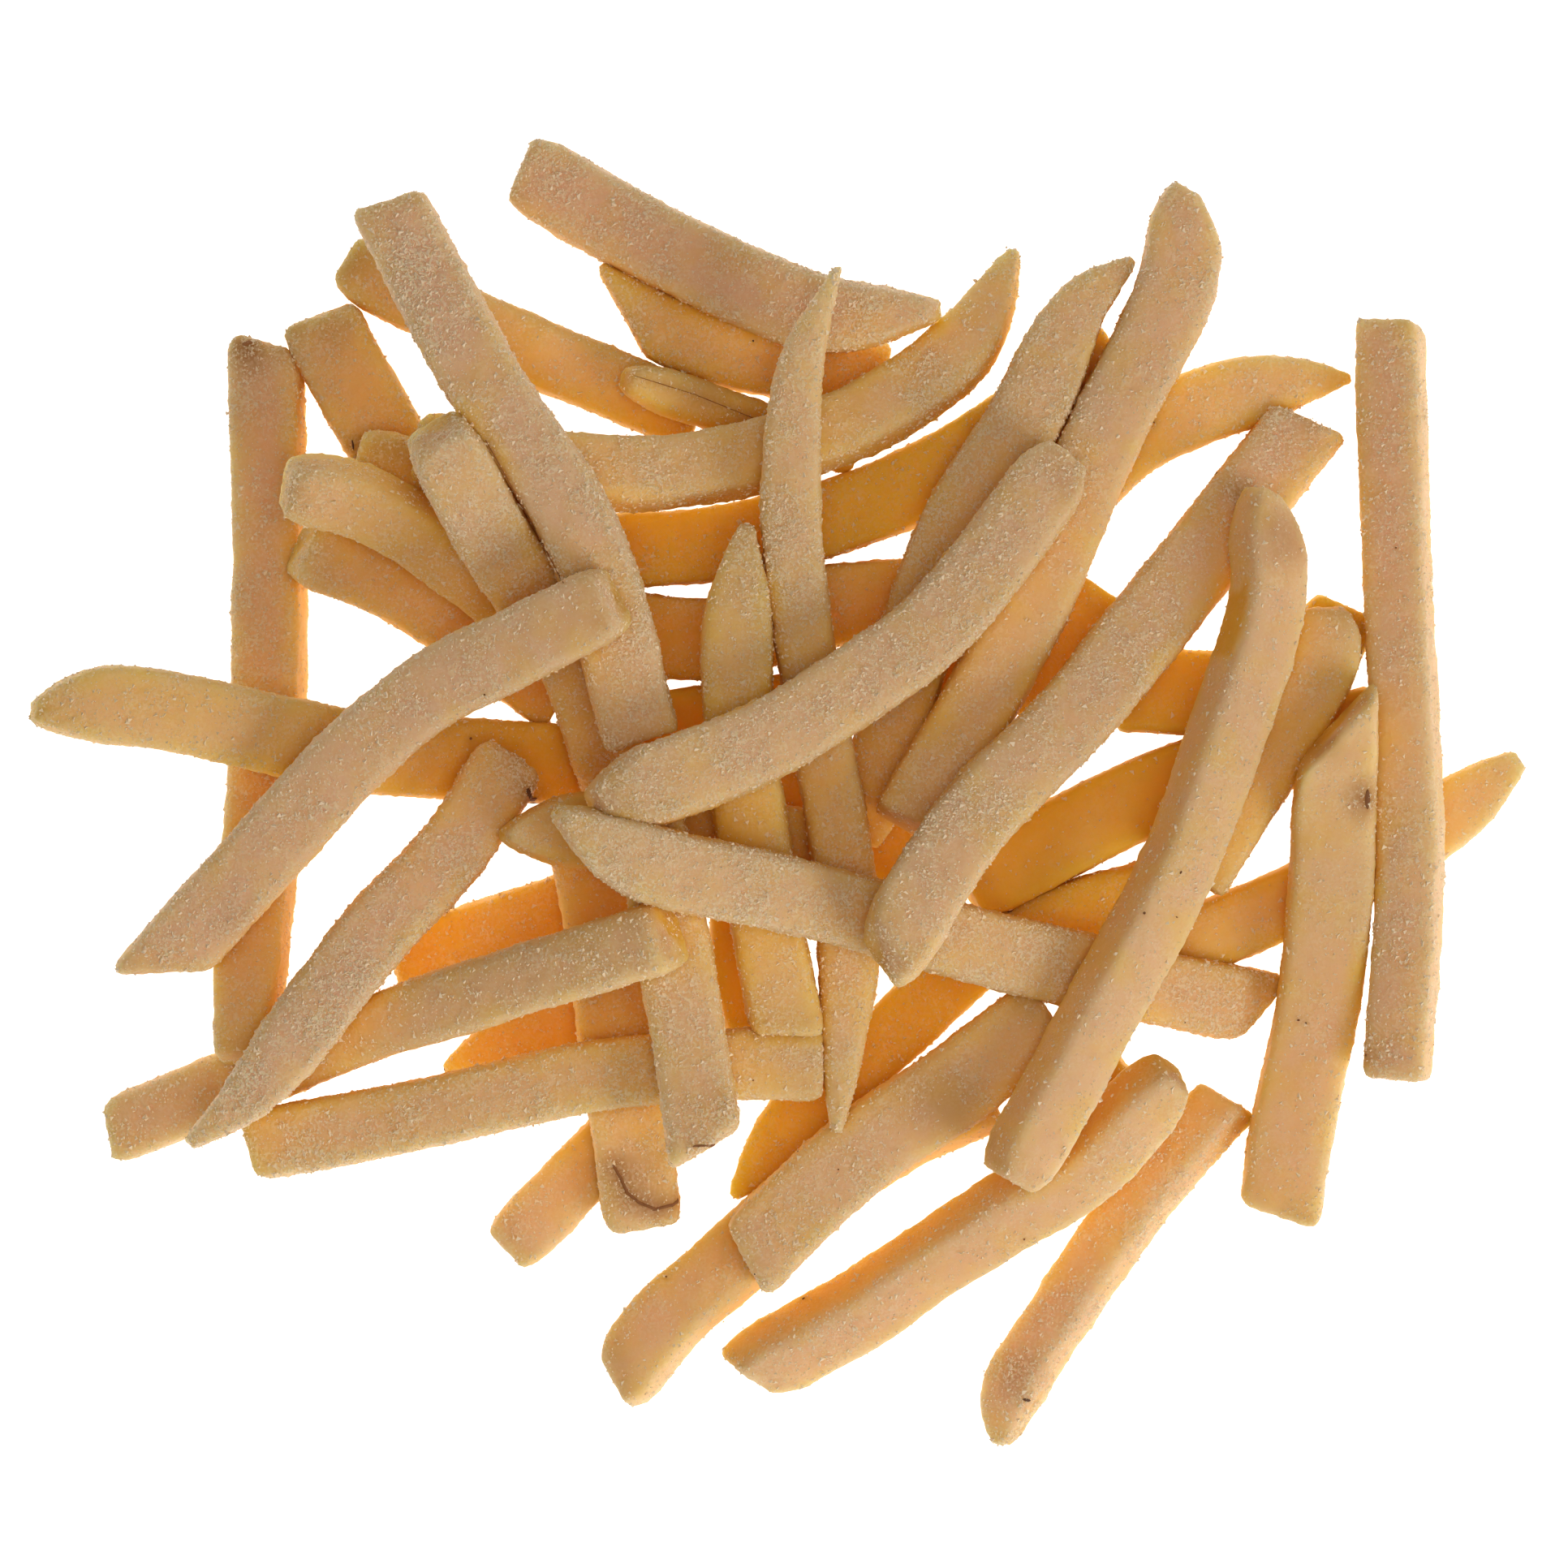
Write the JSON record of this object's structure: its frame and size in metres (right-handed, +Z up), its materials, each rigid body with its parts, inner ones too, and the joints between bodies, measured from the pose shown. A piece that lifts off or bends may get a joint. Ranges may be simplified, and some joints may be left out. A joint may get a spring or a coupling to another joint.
{
  "type": "french fries portion",
  "caption": "Loose heap of straight-cut potato fries lying on a flat surface; a rigid food prop for tables, trays and plates.",
  "frame": {"origin": "middle of the heap's outline seen from above, on the surface it lies on", "axes": "+X along the heap's longest extent, to the right as seen from above with +Y away from the viewer; +Z up"},
  "size_m": [0.183, 0.1607, 0.0425],
  "materials": {
    "potato": null
  },
  "bodies": {
    "root": {"fries_heap": "potato"}
  },
  "joints": []
}
